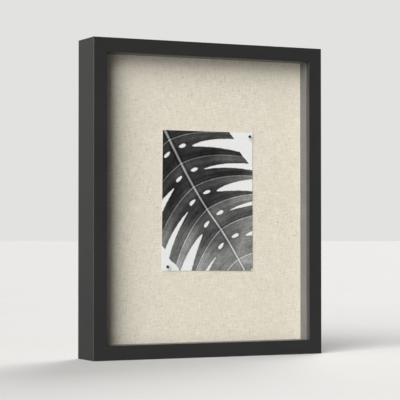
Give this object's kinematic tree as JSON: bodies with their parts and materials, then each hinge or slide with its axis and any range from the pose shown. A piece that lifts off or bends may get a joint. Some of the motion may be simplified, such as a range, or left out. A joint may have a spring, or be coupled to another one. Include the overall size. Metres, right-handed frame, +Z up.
{
  "type": "shadow box",
  "caption": "Rear-loading shadow box: deep black mitred frame, glass, grey spacers, linen-covered pin board with a pinned leaf print, swivel clips and sawtooth hangers.",
  "frame": {"origin": "on the ground under the middle of the case, at the middle of its width and of its depth with the bumpers", "axes": "+Z up along the tall side, +Y from the glass towards the back, +X to the right as seen from the front"},
  "size_m": [0.315, 0.053, 0.3912],
  "materials": {
    "frame_paint": "satin black paint on fibreboard",
    "spacer_wrap": "warm grey paper-wrapped strip",
    "glass": "clear float glass",
    "linen": "natural plain-weave linen",
    "board": "soft fibre and foam board",
    "hardboard": "raw brown hardboard",
    "print_paper": "satin photo paper, monochrome",
    "pin_head": "glossy black",
    "bright_steel": "bright zinc-plated steel",
    "clip_steel": "nickel-plated stamped steel",
    "hanger_plate": "brass-plated stamped steel",
    "bumper": "black soft rubber"
  },
  "bodies": {
    "case": {"rail_left": "frame_paint", "rail_top": "frame_paint", "rail_right": "frame_paint", "rail_bottom": "frame_paint", "v_nail_lower_left": "bright_steel", "bumper_lower_left": "bumper", "v_nail_lower_right": "bright_steel", "bumper_lower_right": "bumper", "v_nail_upper_left": "bright_steel", "bumper_upper_left": "bumper", "v_nail_upper_right": "bright_steel", "bumper_upper_right": "bumper", "glass_pane": "glass", "spacer_left": "spacer_wrap", "spacer_right": "spacer_wrap", "spacer_top": "spacer_wrap", "spacer_bottom": "spacer_wrap", "linen_cover": "linen", "pin_board": "board", "back_panel": "hardboard", "leaf_print": "print_paper", "rivet_left_upper": "bright_steel", "rivet_left_lower": "bright_steel", "rivet_top": "bright_steel", "rivet_right_upper": "bright_steel", "rivet_right_lower": "bright_steel", "rivet_bottom": "bright_steel", "sawtooth_hanger_top": "hanger_plate", "sawtooth_hanger_side": "hanger_plate", "hanger_nail_top_first": "hanger_plate", "hanger_nail_top_second": "hanger_plate", "hanger_nail_side_first": "hanger_plate", "hanger_nail_side_second": "hanger_plate"},
    "pin_upper": {"pin_head_upper": "pin_head", "pin_shank_upper": "bright_steel"},
    "pin_lower": {"pin_head_lower": "pin_head", "pin_shank_lower": "bright_steel"},
    "clip_left_upper": {"turn_clip_left_upper": "clip_steel"},
    "clip_left_lower": {"turn_clip_left_lower": "clip_steel"},
    "clip_top": {"turn_clip_top": "clip_steel"},
    "clip_right_upper": {"turn_clip_right_upper": "clip_steel"},
    "clip_right_lower": {"turn_clip_right_lower": "clip_steel"},
    "clip_bottom": {"turn_clip_bottom": "clip_steel"}
  },
  "joints": [
    {"name": "pin_upper_pull", "type": "slide", "parent": "case", "child": "pin_upper", "axis": [0, -1, 0], "range_m": [0, 0.008]},
    {"name": "pin_lower_pull", "type": "slide", "parent": "case", "child": "pin_lower", "axis": [0, -1, 0], "range_m": [0, 0.008]},
    {"name": "clip_left_upper_turn", "type": "hinge", "parent": "case", "child": "clip_left_upper", "pos_m": [-0.132, 0.01205, 0.2836], "axis": [0, 1, 0], "continuous": true},
    {"name": "clip_left_lower_turn", "type": "hinge", "parent": "case", "child": "clip_left_lower", "pos_m": [-0.132, 0.01205, 0.1076], "axis": [0, 1, 0], "continuous": true},
    {"name": "clip_top_turn", "type": "hinge", "parent": "case", "child": "clip_top", "pos_m": [0, 0.01205, 0.3657], "axis": [0, 1, 0], "continuous": true},
    {"name": "clip_right_upper_turn", "type": "hinge", "parent": "case", "child": "clip_right_upper", "pos_m": [0.132, 0.01205, 0.2836], "axis": [0, 1, 0], "continuous": true},
    {"name": "clip_right_lower_turn", "type": "hinge", "parent": "case", "child": "clip_right_lower", "pos_m": [0.132, 0.01205, 0.1076], "axis": [0, 1, 0], "continuous": true},
    {"name": "clip_bottom_turn", "type": "hinge", "parent": "case", "child": "clip_bottom", "pos_m": [0, 0.01205, 0.0255], "axis": [0, 1, 0], "continuous": true}
  ]
}
